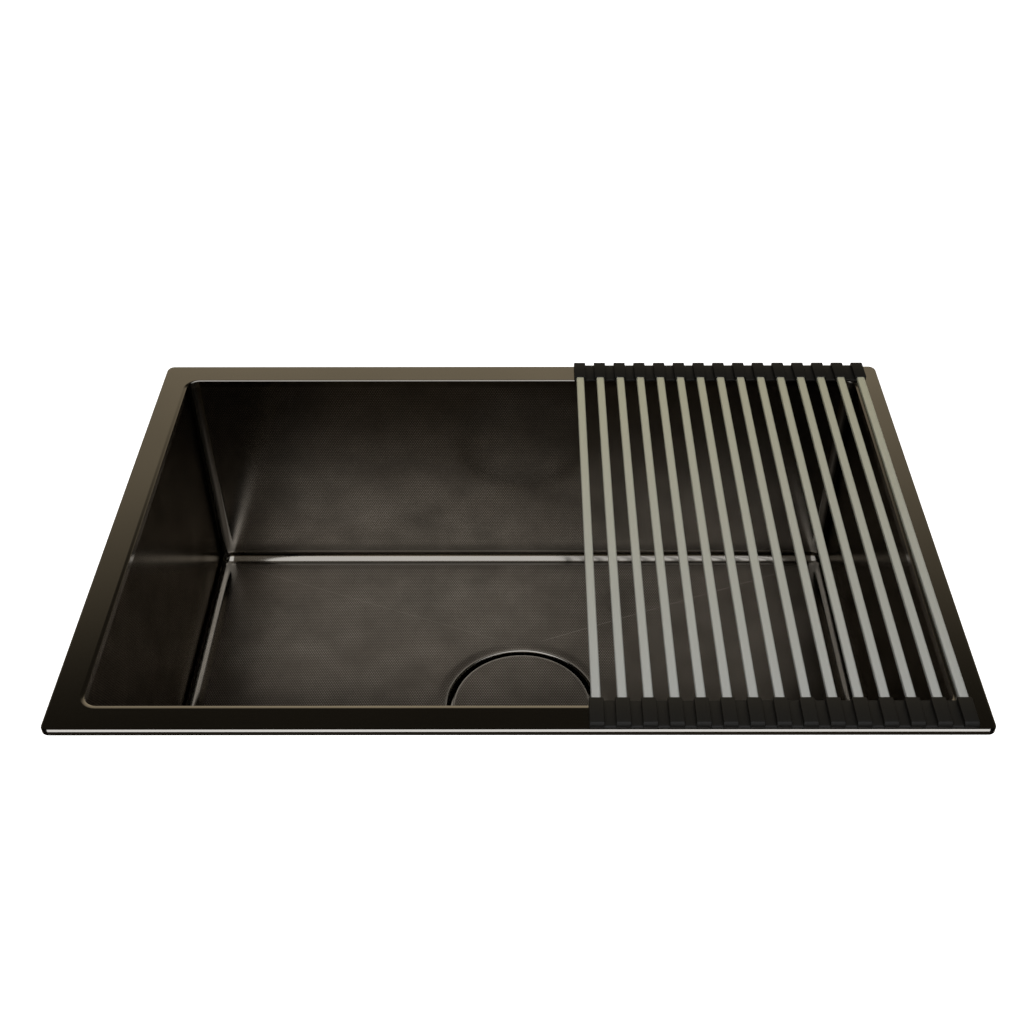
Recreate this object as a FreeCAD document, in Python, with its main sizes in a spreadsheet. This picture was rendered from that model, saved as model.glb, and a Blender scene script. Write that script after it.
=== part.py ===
import FreeCAD, Part
import math
import os

import Sketcher
from FreeCAD import Placement, Rotation, Vector

# Workstation kitchen sink: one deep steel bowl under a wide flat rim, a round drain recess with a
# cover plate, a basket strainer with its tailpiece, and a roll-up drying rack across the rim.
#
# Origin: the centre of the bowl's mouth in the plane of the rim's top face. +X runs along the long
# side, +Y towards the rear, +Z up. Millimetres.

SIZES = {
    # the rim plate: a flat sheet with its outer edge and the bowl's mouth both turned down
    "sink_length": 762.0,
    "sink_width": 508.0,
    "rim_width": 27.0,
    "rim_drop": 4.5,
    "rim_corner": 7.0,
    "rim_edge": 2.0,
    "steel": 1.5,
    "mouth_bend": 3.0,
    "mouth_leg": 8.0,
    "seal_width": 9.0,
    "seal_inset": 1.0,
    # the bowl and its floor, which falls to a short valley over the drain
    "bowl_depth": 256.0,
    "bowl_corner": 12.0,
    "floor_bend": 10.0,
    "floor_fall": 4.4,
    "valley_half": 85.0,
    "valley_width": 2.0,
    # the drain recess, with a shallow dish round its lip
    "recess_radius": 78.5,
    "recess_depth": 12.0,
    "recess_bevel": 2.0,
    "lip_bevel": 1.0,
    "lip_dip": 0.6,
    "dish_reach": 50.0,
    "dish_rise": 2.6,
    # the cover plate that stands in the recess, flush with the lip
    "cover_radius": 73.2,
    "cover_thickness": 2.0,
    "cover_edge": 0.8,
    "foot_radius": 4.0,
    "foot_circle": 64.0,
    # the strainer body, clamped through the recess floor
    "flange_radius": 57.0,
    "flange_thickness": 1.5,
    "flange_edge": 0.5,
    "flange_gasket": 1.0,
    "cup_radius": 44.0,
    "cup_wall": 1.5,
    "cup_depth": 55.0,
    "cup_bevel": 4.0,
    "hole_clearance": 1.0,
    "spigot_radius": 23.5,
    "spigot_length": 16.0,
    "outlet_radius": 18.0,
    "spider_bar": 3.0,
    "spider_hub": 5.0,
    "spider_height": 3.0,
    # what clamps it from below
    "clamp_gasket": 3.0,
    "clamp_washer": 1.0,
    "clamp_radius": 56.0,
    "lock_radius": 52.0,
    "lock_height": 12.0,
    "lock_lug": 5.0,
    "lock_lug_width": 9.0,
    "thread_clearance": 0.05,
    # the tailpiece and its slip nut
    "tail_radius": 19.05,
    "tail_wall": 0.9,
    "tail_length": 100.0,
    "tail_flange": 22.5,
    "tail_flange_thickness": 1.5,
    "tail_washer": 2.0,
    "slip_radius": 28.0,
    "slip_grip": 10.0,
    "slip_floor": 3.0,
    "slip_play": 0.8,
    "slip_lug": 2.5,
    "slip_lug_width": 6.0,
    # the lift-out basket
    "basket_radius": 37.0,
    "basket_foot": 33.0,
    "basket_rim": 42.0,
    "basket_wall": 0.8,
    "basket_depth": 33.0,
    "basket_clearance": 0.5,
    "slot_width": 4.0,
    "slot_height": 14.0,
    "drip_radius": 2.2,
    "drip_circle": 20.0,
    "post_radius": 3.0,
    "knob_radius": 8.0,
    "knob_height": 3.0,
    "knob_gap": 2.0,
    "stopper_radius": 24.0,
    "stopper_foot": 19.0,
    "stopper_height": 5.0,
    "stopper_lift": 8.0,
    # rubber pads that quieten the bowl
    "pad_thickness": 3.0,
    "floor_pad_length": 180.0,
    "floor_pad_width": 260.0,
    "floor_pad_gap": 12.0,
    "wall_pad_length": 380.0,
    "wall_pad_height": 130.0,
    "side_pad_length": 240.0,
    "wall_pad_top": 60.0,
    # the roll-up rack: bars that end in soft caps, joined by soft webs
    "bar_pitch": 21.25,
    "bar_width": 8.0,
    "bar_height": 4.6,
    "bar_wall": 0.8,
    "bar_round": 1.2,
    "rack_inset": 20.9,
    "rack_shift": -0.75,
    "rack_margin": 1.25,
    "cap_width": 12.0,
    "cap_height": 6.0,
    "cap_length": 28.2,
    "cap_bevel": 1.4,
    "cap_edge": 0.5,
    "bar_seat": 20.0,
    "seat_clearance": 0.05,
    "web_height": 2.0,
    "web_gap": 0.2,
}

BAR_COUNT = 15
BASKET_SLOTS = 12
DRIP_HOLES = 8
LOCK_LUGS = 6
SLIP_LUGS = 8
COVER_FEET = 4
SAME = 1e-4  # two lengths nearer than this are equal, in millimetres

doc = FreeCAD.newDocument("kitchen_sink")
nodes = []


class Size:
    """A length in millimetres together with the spreadsheet expression that gives it."""

    def __init__(self, value, text):
        self.value = value
        self.text = text

    def __add__(self, other):
        other = as_size(other)
        return Size(self.value + other.value, f"({self.text} + {other.text})")

    def __sub__(self, other):
        other = as_size(other)
        return Size(self.value - other.value, f"({self.text} - {other.text})")

    def __mul__(self, other):
        other = as_size(other)
        return Size(self.value * other.value, f"({self.text} * {other.text})")

    def __truediv__(self, other):
        other = as_size(other)
        return Size(self.value / other.value, f"({self.text} / {other.text})")

    def __neg__(self):
        return as_size(0) - self


def as_size(number):
    """Turns a plain number into a Size, and leaves a Size as it is."""
    if isinstance(number, Size):
        return number
    return Size(float(number), f"({float(number)})")


def smaller(a, b):
    """The smaller of two sizes."""
    return Size(min(a.value, b.value), f"min({a.text}; {b.text})")


class Sheet:
    """The spreadsheet of driving dimensions, each one read back as a Size by its own name."""

    def __init__(self, sizes):
        self.cells = doc.addObject("Spreadsheet::Sheet", "Sizes")
        for row, (name, number) in enumerate(sizes.items(), start=1):
            self.cells.set(f"A{row}", name)
            self.cells.set(f"B{row}", str(number))
            self.cells.setAlias(f"B{row}", name)
        doc.recompute()

    def __getattr__(self, name):
        return Size(float(self.cells.get(name)), f"Sizes.{name}")


size = Sheet(SIZES)

# levels and outlines that several pieces share
mouth_length = size.sink_length - size.rim_width * 2
mouth_width = size.sink_width - size.rim_width * 2
floor_level = -size.bowl_depth
valley_level = floor_level - size.floor_fall
lip_level = valley_level - size.lip_dip
recess_level = lip_level - size.recess_depth
recess_underside = recess_level - size.steel
flange_underside = recess_level + size.flange_gasket
flange_top = flange_underside + size.flange_thickness
cup_underside = flange_underside - size.cup_depth
cup_floor = cup_underside + size.cup_wall
spigot_end = cup_underside - size.spigot_length
tail_washer_end = spigot_end - size.tail_washer
tail_flange_end = tail_washer_end - size.tail_flange_thickness
drain_hole = size.cup_radius + size.hole_clearance
cover_underside = lip_level - size.cover_thickness
basket_top = flange_top - size.basket_clearance
basket_underside = basket_top - size.basket_depth
bend = smaller(size.floor_bend, size.bowl_corner - 1)
rack_right = size.sink_length / 2 - size.rack_inset
rack_length = size.sink_width - size.rack_margin * 2
rack_front = -(rack_length / 2) - size.rack_shift
rack_rear = rack_length / 2 - size.rack_shift


# ---------------------------------------------------------------- helpers


def bind(thing, prop, length):
    """Drives one property of an object from the spreadsheet."""
    thing.setExpression(prop, length.text)


def new_body(label):
    """A part body whose label is the node's name."""
    body = doc.addObject("PartDesign::Body", label)
    body.Label = label
    return body


def origin_part(body, role):
    """One of a body's own origin planes or axes."""
    return next(f for f in body.Origin.OriginFeatures if f.Role == role)


def new_sketch(body, role, level=None):
    """A sketch on one of the body's origin planes, moved along the plane's normal to a level."""
    sketch = body.newObject("Sketcher::SketchObject", body.Name + "_sketch")
    sketch.AttachmentSupport = (origin_part(body, role), [""])
    sketch.MapMode = "FlatFace"
    if level is not None:
        sketch.AttachmentOffset = Placement(Vector(0, 0, level.value), Rotation())
        bind(sketch, "AttachmentOffset.Base.z", level)
    return sketch


def flat_sketch(body, level):
    return new_sketch(body, "XY_Plane", level)


def hold(sketch, kind, geometry, point, length):
    """Holds one coordinate of a sketch point, measured from the sketch's origin."""
    if length.value == 0:
        axis = -2 if kind == "DistanceX" else -1
        sketch.addConstraint(Sketcher.Constraint("PointOnObject", geometry, point, axis))
        return
    row = sketch.addConstraint(
        Sketcher.Constraint(kind, -1, 1, geometry, point, length.value)
    )
    bind(sketch, f"Constraints[{row}]", length)


def outline(sketch, points):
    """A closed loop of straight lines through the points, each point held by its two sizes."""
    points = [(as_size(x), as_size(y)) for x, y in points]
    places = [Vector(x.value, y.value, 0) for x, y in points]
    count = len(points)
    first = sketch.GeometryCount
    for i in range(count):
        sketch.addGeometry(Part.LineSegment(places[i], places[(i + 1) % count]), False)
    for i in range(count):
        following = first + (i + 1) % count
        sketch.addConstraint(Sketcher.Constraint("Coincident", first + i, 2, following, 1))
    for i, (x, y) in enumerate(points):
        hold(sketch, "DistanceX", first + i, 1, x)
        hold(sketch, "DistanceY", first + i, 1, y)


def rectangle(sketch, length, width, x=0, y=0):
    """A rectangle centred on a point of the sketch."""
    x, y = as_size(x), as_size(y)
    low_x, high_x = x - length / 2, x + length / 2
    low_y, high_y = y - width / 2, y + width / 2
    outline(sketch, [(low_x, low_y), (high_x, low_y), (high_x, high_y), (low_x, high_y)])


def circle(sketch, radius, x=0, y=0):
    """A circle about a point of the sketch."""
    x, y = as_size(x), as_size(y)
    centre = Vector(x.value, y.value, 0)
    row = sketch.addGeometry(Part.Circle(centre, Vector(0, 0, 1), radius.value), False)
    hold(sketch, "DistanceX", row, 3, x)
    hold(sketch, "DistanceY", row, 3, y)
    held = sketch.addConstraint(Sketcher.Constraint("Radius", row, radius.value))
    bind(sketch, f"Constraints[{held}]", radius)


def rounded_rectangle(sketch, length, width, radius, y=0):
    """A rectangle with four equal round corners, centred at height y on the sketch's vertical axis."""
    y = as_size(y)
    half_x, half_y, r = length.value / 2, width.value / 2, radius.value
    first = sketch.GeometryCount
    corner = Vector(half_x - r, half_y - r, 0)
    signs = [(1, -1), (1, 1), (-1, 1), (-1, -1)]
    centres = [Vector(a * corner.x, y.value + b * corner.y, 0) for a, b in signs]
    for i, centre in enumerate(centres):
        a, b = signs[i]
        before = signs[i - 1]
        outward = Vector(0, b * r, 0) if i % 2 == 0 else Vector(a * r, 0, 0)
        start = centres[i - 1] + outward
        sketch.addGeometry(Part.LineSegment(start, centre + outward), False)
        whole = Part.Circle(centre, Vector(0, 0, 1), r)
        arc = Part.ArcOfCircle(whole, (i - 1) * math.pi / 2, i * math.pi / 2)
        sketch.addGeometry(arc, False)
    lines = [first + 2 * i for i in range(4)]
    arcs = [first + 2 * i + 1 for i in range(4)]
    for i in range(4):
        sketch.addConstraint(Sketcher.Constraint("Tangent", lines[i], 2, arcs[i], 1))
        sketch.addConstraint(Sketcher.Constraint("Tangent", arcs[i - 1], 2, lines[i], 1))
    for i in (0, 2):
        sketch.addConstraint(Sketcher.Constraint("Horizontal", lines[i]))
        sketch.addConstraint(Sketcher.Constraint("Vertical", lines[i + 1]))
    for i in (1, 2, 3):
        sketch.addConstraint(Sketcher.Constraint("Equal", arcs[0], arcs[i]))
    held = sketch.addConstraint(Sketcher.Constraint("Radius", arcs[0], r))
    bind(sketch, f"Constraints[{held}]", radius)
    hold(sketch, "DistanceX", lines[1], 1, length / 2)
    hold(sketch, "DistanceX", lines[3], 1, -length / 2)
    hold(sketch, "DistanceY", lines[0], 1, y - width / 2)
    hold(sketch, "DistanceY", lines[2], 1, y + width / 2)


def pad(body, sketch, length, flipped=False):
    """Adds material from a sketch, along its normal."""
    feature = body.newObject("PartDesign::Pad", body.Name + "_pad")
    feature.Profile = sketch
    feature.Length = length.value
    bind(feature, "Length", length)
    feature.Reversed = flipped
    return feature


def pocket(body, sketch, length, flipped=False):
    """Takes material away below a sketch, or above it when flipped."""
    feature = body.newObject("PartDesign::Pocket", body.Name + "_pocket")
    feature.Profile = sketch
    feature.Length = length.value
    bind(feature, "Length", length)
    feature.Reversed = flipped
    return feature


def turn(body, kind, points):
    """A full turn about Z of a profile of (radius, height) points: a Revolution or a Groove."""
    sketch = new_sketch(body, "XZ_Plane")
    outline(sketch, points)
    feature = body.newObject("PartDesign::" + kind, body.Name + "_turn")
    feature.Profile = sketch
    feature.ReferenceAxis = (sketch, ["V_Axis"])
    feature.Angle = 360
    return feature


def ring_of(body, feature, count):
    """Repeats a feature evenly about Z."""
    pattern = body.newObject("PartDesign::PolarPattern", body.Name + "_ring")
    pattern.Originals = [feature]
    pattern.Axis = (origin_part(body, "Z_Axis"), [""])
    pattern.Angle = 360
    pattern.Occurrences = count
    body.Tip = pattern
    return pattern


def edges_where(feature, wanted):
    """The names of a feature's edges that pass a test."""
    doc.recompute()
    return [f"Edge{i}" for i, edge in enumerate(feature.Shape.Edges, 1) if wanted(edge)]


def fillet(body, feature, wanted, radius):
    """Rounds the edges that pass a test."""
    rounded = body.newObject("PartDesign::Fillet", body.Name + "_fillet")
    rounded.Base = (feature, edges_where(feature, wanted))
    rounded.Radius = radius.value
    bind(rounded, "Radius", radius)
    return rounded


def chamfer(body, feature, wanted, width):
    """Bevels the edges that pass a test."""
    bevel = body.newObject("PartDesign::Chamfer", body.Name + "_chamfer")
    bevel.Base = (feature, edges_where(feature, wanted))
    bevel.Size = width.value
    bind(bevel, "Size", width)
    return bevel


def lies_at(edge, level):
    """True for an edge that lies in one horizontal plane."""
    box = edge.BoundBox
    return abs(box.ZMin - level.value) < SAME and abs(box.ZMax - level.value) < SAME


def reach(edge):
    """How far an edge reaches from the long middle plane of the sink, along Y."""
    return max(abs(edge.BoundBox.YMin), abs(edge.BoundBox.YMax))


def is_circle(edge, radius, level):
    """True for a circular edge about Z of one radius at one level."""
    curve = edge.Curve
    round_edge = isinstance(curve, Part.Circle) and abs(curve.Radius - radius.value) < SAME
    return round_edge and lies_at(edge, level)


def keep(thing):
    """Makes an object one of the nodes that are written out."""
    nodes.append(thing)
    return thing


def together(label, pieces):
    """One node that holds several separate solids."""
    group = doc.addObject("Part::Compound", label)
    group.Label = label
    group.Links = pieces
    return keep(group)


def ring(label, inner, outer, bottom, height):
    """A flat round ring about Z."""
    body = new_body(label)
    sketch = flat_sketch(body, bottom)
    circle(sketch, outer)
    circle(sketch, inner)
    pad(body, sketch, height)
    return keep(body)


# ---------------------------------------------------------------- the rim and the bowl


def make_rim_sheet():
    """The rim: a sheet whose outer edge is turned down all round, with the mouth's leg below it."""
    body = new_body("rim_sheet")
    sketch = flat_sketch(body, -size.rim_drop)
    rounded_rectangle(sketch, size.sink_length, size.sink_width, size.rim_corner)
    blank = pad(body, sketch, size.rim_drop)

    def outer_top(edge):
        return lies_at(edge, as_size(0))

    rounded = fillet(body, blank, outer_top, size.rim_edge)

    hollow = flat_sketch(body, -size.rim_drop)
    lip = size.steel * 2
    inner_corner = size.rim_corner - size.steel
    rounded_rectangle(hollow, size.sink_length - lip, size.sink_width - lip, inner_corner)
    leg_length, leg_width = mouth_length + lip, mouth_width + lip
    leg_corner = size.bowl_corner + size.steel
    rounded_rectangle(hollow, leg_length, leg_width, leg_corner)
    hollowed = pocket(body, hollow, size.rim_drop - size.steel, flipped=True)

    leg = flat_sketch(body, -size.mouth_leg)
    rounded_rectangle(leg, leg_length, leg_width, leg_corner)
    legged = pad(body, leg, size.mouth_leg - size.steel)

    mouth = flat_sketch(body, as_size(0))
    rounded_rectangle(mouth, mouth_length, mouth_width, size.bowl_corner)
    opened = pocket(body, mouth, size.mouth_leg)

    half_mouth = mouth_width / 2 + size.steel / 2

    def mouth_top(edge):
        return lies_at(edge, as_size(0)) and reach(edge) < half_mouth.value

    eased = fillet(body, opened, mouth_top, size.mouth_bend)

    def under_bend(edge):
        near = reach(edge) < (half_mouth + size.steel).value
        return lies_at(edge, -size.steel) and near

    fillet(body, eased, under_bend, size.mouth_bend - size.steel)
    return body


def mitre_block(side, points):
    """What one side of the mitred rim lies in: a prism bounded by the corners' diagonals."""
    body = new_body(f"mitre_{side}")
    sketch = flat_sketch(body, -size.mouth_leg)
    outline(sketch, points)
    pad(body, sketch, size.mouth_leg)
    return body


def make_top_plate():
    """The rim plate: four sides of the turned sheet, welded along mitres through its corners."""
    sheet = make_rim_sheet()
    far = size.sink_width
    ridge = (size.sink_length - size.sink_width) / 2
    wide = ridge + far
    sides = {
        "rear": [(ridge, 0), (wide, far), (-wide, far), (-ridge, 0)],
        "front": [(-ridge, 0), (-wide, -far), (wide, -far), (ridge, 0)],
        "left": [(-ridge, 0), (-wide, far), (-wide, -far)],
        "right": [(ridge, 0), (wide, -far), (wide, far)],
    }
    pieces = []
    for side, points in sides.items():
        piece = doc.addObject("Part::Common", f"rim_{side}")
        piece.Base = sheet
        piece.Tool = mitre_block(side, points)
        pieces.append(piece)
    return together("top_plate", pieces)


def recess_profile(cover):
    """The drain recess and the dish round its lip as (radius, height) points, grown by a wall."""
    radius = size.recess_radius + cover
    foot, lip = recess_level - cover, lip_level - cover
    top = lip + size.dish_rise
    return [
        (0, foot),
        (radius - size.recess_bevel, foot),
        (radius, foot + size.recess_bevel),
        (radius, lip - size.lip_bevel),
        (radius + size.lip_bevel, lip),
        (size.recess_radius + size.dish_reach, top),
        (0, top),
    ]


def sink_floor(body, cover):
    """Lets the floor fall to its valley: two planes slope along X, and two along Y.

    The first two are the underside of a prism that runs front to rear. The other two cut away
    what lies below them at its front and rear, so each pair of planes meets in a crease.
    """
    side, end = mouth_length / 2 - bend, mouth_width / 2 - bend
    edge, bottom = floor_level - cover, valley_level - cover
    near = size.valley_width / 2
    trough = new_sketch(body, "XZ_Plane", -end)
    outline(trough, [(-side, edge), (-near, bottom), (near, bottom), (side, edge)])
    pad(body, trough, end * 2)
    wedges = new_sketch(body, "YZ_Plane", -side)
    for sign in (-1, 1):
        far = end * sign
        outline(wedges, [(size.valley_half * sign, bottom), (far, bottom), (far, edge)])
    pocket(body, wedges, side * 2, flipped=True)


def bowl_form(label, cover, top):
    """The space inside the bowl, or with a cover of steel the whole form of its outside.

    Upright walls come down to a bend, the floor falls from it in four planes to the valley, and
    the recess with its dish is turned about Z.
    """
    body = new_body(label)
    bottom = floor_level - cover
    blank = flat_sketch(body, bottom)
    length, width = mouth_length + cover * 2, mouth_width + cover * 2
    rounded_rectangle(blank, length, width, size.bowl_corner + cover)
    block = pad(body, blank, top - bottom)
    fillet(body, block, lambda edge: lies_at(edge, bottom), bend + cover)
    sink_floor(body, cover)
    turn(body, "Revolution", recess_profile(cover))
    return body


def make_bowl():
    """The bowl: its outer form less its inner form, with the hole for the strainer."""
    outer = bowl_form("bowl_outside", size.steel, -size.mouth_leg)
    inner = bowl_form("bowl_inside", as_size(0), -size.mouth_leg + size.mouth_bend)
    hole = flat_sketch(inner, recess_underside - size.steel)
    circle(hole, drain_hole)
    pad(inner, hole, size.steel * 3)
    bowl = doc.addObject("Part::Cut", "bowl")
    bowl.Label = "bowl"
    bowl.Base = outer
    bowl.Tool = inner
    return keep(bowl)


def make_rim_seal():
    """The soft strip under the rim that seals it to a worktop."""
    body = new_body("rim_seal")
    sketch = flat_sketch(body, -size.rim_drop)
    inset = (size.steel + size.seal_inset) * 2
    length, width = size.sink_length - inset, size.sink_width - inset
    corner = size.rim_corner - size.steel - size.seal_inset
    rounded_rectangle(sketch, length, width, corner)
    inner = size.seal_width * 2
    rectangle(sketch, length - inner, width - inner)
    pad(body, sketch, size.rim_drop - size.steel)
    return keep(body)


def block_of(label, spans, level, height):
    """A plain block of rubber between two X and two Y values, standing on a level."""
    block = doc.addObject("Part::Box", label)
    (low_x, high_x), (low_y, high_y) = spans
    bind(block, "Length", high_x - low_x)
    bind(block, "Width", high_y - low_y)
    bind(block, "Height", height)
    bind(block, "Placement.Base.x", low_x)
    bind(block, "Placement.Base.y", low_y)
    bind(block, "Placement.Base.z", level)
    return block


def make_floor_pads():
    """Two pads stuck to the sloping underside of the floor, left and right of the drain."""
    run = mouth_length / 2 - bend - size.valley_width / 2
    start = size.recess_radius + size.dish_reach + size.floor_pad_gap
    half = size.floor_pad_width / 2
    slope = size.floor_fall / run
    top = valley_level - size.steel + slope * (start - size.valley_width / 2)
    pads = []
    for side, sign in (("left", -1), ("right", 1)):
        body = new_body("floor_pad_" + side)
        sketch = new_sketch(body, "XZ_Plane", -half)
        rise = slope * size.floor_pad_length
        near, far = start * sign, (start + size.floor_pad_length) * sign
        thick = size.pad_thickness
        corners = [(near, top), (far, top + rise), (far, top + rise - thick), (near, top - thick)]
        outline(sketch, corners)
        pad(body, sketch, size.floor_pad_width)
        pads.append(body)
    return together("floor_pads", pads)


def make_wall_pads():
    """Four pads stuck to the outsides of the walls."""
    top = -size.wall_pad_top
    bottom = top - size.wall_pad_height
    thick = size.pad_thickness
    wall_y = mouth_width / 2 + size.steel
    wall_x = mouth_length / 2 + size.steel
    half_x, half_y = size.wall_pad_length / 2, size.side_pad_length / 2
    spans = {
        "front": ((-half_x, half_x), (-wall_y - thick, -wall_y)),
        "rear": ((-half_x, half_x), (wall_y, wall_y + thick)),
        "left": ((-wall_x - thick, -wall_x), (-half_y, half_y)),
        "right": ((wall_x, wall_x + thick), (-half_y, half_y)),
    }
    pads = [
        block_of("wall_pad_" + side, span, bottom, size.wall_pad_height)
        for side, span in spans.items()
    ]
    return together("wall_pads", pads)


# ---------------------------------------------------------------- the drain


def make_cover():
    """The round cover plate and the feet that it stands on in the recess."""
    body = new_body("cover_plate")
    sketch = flat_sketch(body, cover_underside)
    circle(sketch, size.cover_radius)
    disc = pad(body, sketch, size.cover_thickness)
    chamfer(body, disc, lambda e: is_circle(e, size.cover_radius, lip_level), size.cover_edge)
    keep(body)
    feet = []
    for number in range(COVER_FEET):
        foot = new_body(f"cover_foot_{number + 1}")
        sketch = flat_sketch(foot, recess_level)
        side = size.foot_circle / math.sqrt(2)
        across = 1 if number in (0, 3) else -1
        along = 1 if number in (0, 1) else -1
        circle(sketch, size.foot_radius, side * across, side * along)
        pad(foot, sketch, cover_underside - recess_level)
        feet.append(foot)
    together("cover_feet", feet)


def make_strainer_body():
    """The strainer: a flange in the recess, a cup through the hole and a spigot with a spider."""
    body = new_body("strainer_body")
    inner = size.cup_radius - size.cup_wall
    shell = turn(
        body,
        "Revolution",
        [
            (inner, flange_top),
            (size.flange_radius, flange_underside + size.flange_edge),
            (size.flange_radius, flange_underside),
            (size.cup_radius, flange_underside),
            (size.cup_radius, cup_underside),
            (size.spigot_radius, cup_underside),
            (size.spigot_radius, spigot_end),
            (size.outlet_radius, spigot_end),
            (size.outlet_radius, cup_floor),
            (inner, cup_floor),
        ],
    )

    def outer_bend(edge):
        return is_circle(edge, size.cup_radius, cup_underside)

    def inner_bend(edge):
        return is_circle(edge, inner, cup_floor)

    bevelled = chamfer(body, shell, outer_bend, size.cup_bevel)
    chamfer(body, bevelled, inner_bend, size.cup_bevel - size.cup_wall / 2)
    spider = flat_sketch(body, cup_floor - size.spider_height)
    rectangle(spider, size.outlet_radius * 2 + size.cup_wall, size.spider_bar)
    pad(body, spider, size.spider_height)
    across = flat_sketch(body, cup_floor - size.spider_height)
    rectangle(across, size.spider_bar, size.outlet_radius * 2 + size.cup_wall)
    pad(body, across, size.spider_height)
    hub = flat_sketch(body, cup_floor - size.spider_height)
    circle(hub, size.spider_hub)
    pad(body, hub, size.spider_height)
    return keep(body)


def make_clamp():
    """What holds the strainer from below: a gasket, a slip washer and a ring nut with lugs."""
    bore = size.cup_radius + size.thread_clearance
    gasket_bottom = recess_underside - size.clamp_gasket
    washer_bottom = gasket_bottom - size.clamp_washer
    nut_bottom = washer_bottom - size.lock_height
    ring("clamp_gasket", bore, size.clamp_radius, gasket_bottom, size.clamp_gasket)
    ring("clamp_washer", bore, size.clamp_radius, washer_bottom, size.clamp_washer)
    body = new_body("lock_nut")
    sketch = flat_sketch(body, nut_bottom)
    circle(sketch, size.lock_radius)
    pad(body, sketch, size.lock_height)
    lug = flat_sketch(body, nut_bottom)
    rectangle(lug, size.lock_lug * 2, size.lock_lug_width, x=size.lock_radius)
    lug_pad = pad(body, lug, size.lock_height)
    ring_of(body, lug_pad, LOCK_LUGS)
    hole = flat_sketch(body, nut_bottom + size.lock_height)
    circle(hole, bore)
    pocket(body, hole, size.lock_height)
    keep(body)


def make_tail():
    """The tailpiece, its washer, and the slip nut that draws them up against the spigot."""
    bore = size.tail_radius - size.tail_wall
    ring("tail_washer", size.outlet_radius, size.tail_flange, tail_washer_end, size.tail_washer)
    body = new_body("tailpiece")
    turn(
        body,
        "Revolution",
        [
            (bore, tail_washer_end),
            (size.tail_flange, tail_washer_end),
            (size.tail_flange, tail_flange_end),
            (size.tail_radius, tail_flange_end),
            (size.tail_radius, tail_washer_end - size.tail_length),
            (bore, tail_washer_end - size.tail_length),
        ],
    )
    keep(body)

    nut = new_body("slip_nut")
    bottom = tail_flange_end - size.slip_floor
    height = spigot_end + size.slip_grip - bottom
    sketch = flat_sketch(nut, bottom)
    circle(sketch, size.slip_radius)
    pad(nut, sketch, height)
    lug = flat_sketch(nut, bottom)
    rectangle(lug, size.slip_lug * 2, size.slip_lug_width, x=size.slip_radius)
    lug_pad = pad(nut, lug, height)
    ring_of(nut, lug_pad, SLIP_LUGS)
    thread = flat_sketch(nut, bottom + height)
    circle(thread, size.spigot_radius + size.thread_clearance)
    pocket(nut, thread, height - size.slip_floor)
    hole = flat_sketch(nut, bottom + size.slip_floor)
    circle(hole, size.tail_radius + size.slip_play)
    pocket(nut, hole, size.slip_floor)
    keep(nut)


def make_basket():
    """The lift-out basket: a slotted cup, a turned post with its knob, and a rubber stopper."""
    body = new_body("basket_cup")
    wall = size.basket_wall
    inner_post = size.post_radius + size.thread_clearance
    turn(
        body,
        "Revolution",
        [
            (size.basket_rim, basket_top),
            (size.basket_rim, basket_top - wall),
            (size.basket_radius, basket_top - wall),
            (size.basket_foot, basket_underside),
            (inner_post, basket_underside),
            (inner_post, basket_underside + wall),
            (size.basket_foot - wall, basket_underside + wall),
            (size.basket_radius - wall, basket_top),
        ],
    )
    slot = new_sketch(body, "YZ_Plane")
    rectangle(slot, size.slot_width, size.slot_height, y=basket_underside + size.basket_depth / 2)
    slotted = pocket(body, slot, size.basket_rim, flipped=True)
    ring_of(body, slotted, BASKET_SLOTS)
    drip = flat_sketch(body, basket_underside + wall * 2)
    circle(drip, size.drip_radius, x=size.drip_circle)
    dripped = pocket(body, drip, wall * 3)
    ring_of(body, dripped, DRIP_HOLES)
    keep(body)

    post = new_body("basket_post")
    knob_top = cover_underside - size.knob_gap
    knob_bottom = knob_top - size.knob_height
    knob = turn(
        post,
        "Revolution",
        [
            (0, knob_top),
            (size.knob_radius, knob_top),
            (size.knob_radius, knob_bottom),
            (size.post_radius, knob_bottom),
            (size.post_radius, cup_floor),
            (0, cup_floor),
        ],
    )
    chamfer(post, knob, lambda e: is_circle(e, size.knob_radius, knob_top), size.knob_height / 3)
    keep(post)

    stopper = new_body("basket_stopper")
    bottom = cup_floor + size.stopper_lift
    top = bottom + size.stopper_height
    turn(
        stopper,
        "Revolution",
        [
            (inner_post, bottom),
            (size.stopper_foot, bottom),
            (size.stopper_radius, bottom + size.stopper_height / 2),
            (size.stopper_radius, top),
            (inner_post, top),
        ],
    )
    keep(stopper)


# ---------------------------------------------------------------- the rack


def make_bar(number, centre):
    """One bar of the rack: a flat-topped steel tube that lies front to rear."""
    body = new_body(f"rack_bar_{number:02d}")
    front = rack_front + size.cap_length - size.bar_seat
    length = rack_length - (size.cap_length - size.bar_seat) * 2
    sketch = new_sketch(body, "XZ_Plane", -front)
    middle = size.cap_height / 2
    wall = size.bar_wall * 2
    rounded_rectangle(sketch, size.bar_width, size.bar_height, size.bar_round, y=middle)
    rectangle(sketch, size.bar_width - wall, size.bar_height - wall, y=middle)
    pad(body, sketch, length, flipped=True)
    bind(body, "Placement.Base.x", centre)
    return keep(body)


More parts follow.
